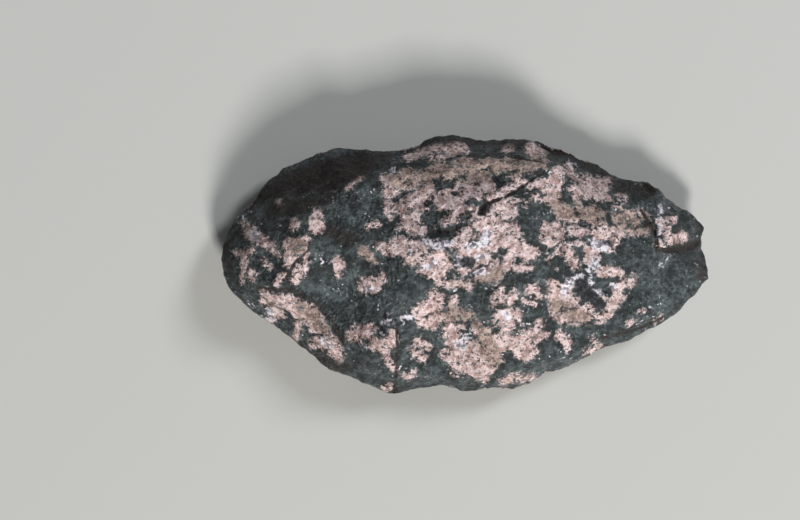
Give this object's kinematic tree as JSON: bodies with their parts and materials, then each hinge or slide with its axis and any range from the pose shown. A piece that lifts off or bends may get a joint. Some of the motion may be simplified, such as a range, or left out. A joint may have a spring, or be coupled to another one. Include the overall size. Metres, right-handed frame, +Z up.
{
  "type": "stone flake tool",
  "caption": "Almond-shaped prehistoric flake tool of coarse mottled rock: steep knapped worked face, smooth flake face, thin retouched edge.",
  "frame": {"origin": "on the ground plane under the middle of the stone's box, where the worn flat of the flake face rests", "axes": "+X from the butt to the point, +Y across towards the steep upper edge, +Z up out of the worked face"},
  "size_m": [0.1318, 0.0704, 0.0273],
  "materials": {
    "mottled_rock": "matte"
  },
  "bodies": {
    "root": {"stone_flake": "mottled_rock"}
  },
  "joints": []
}
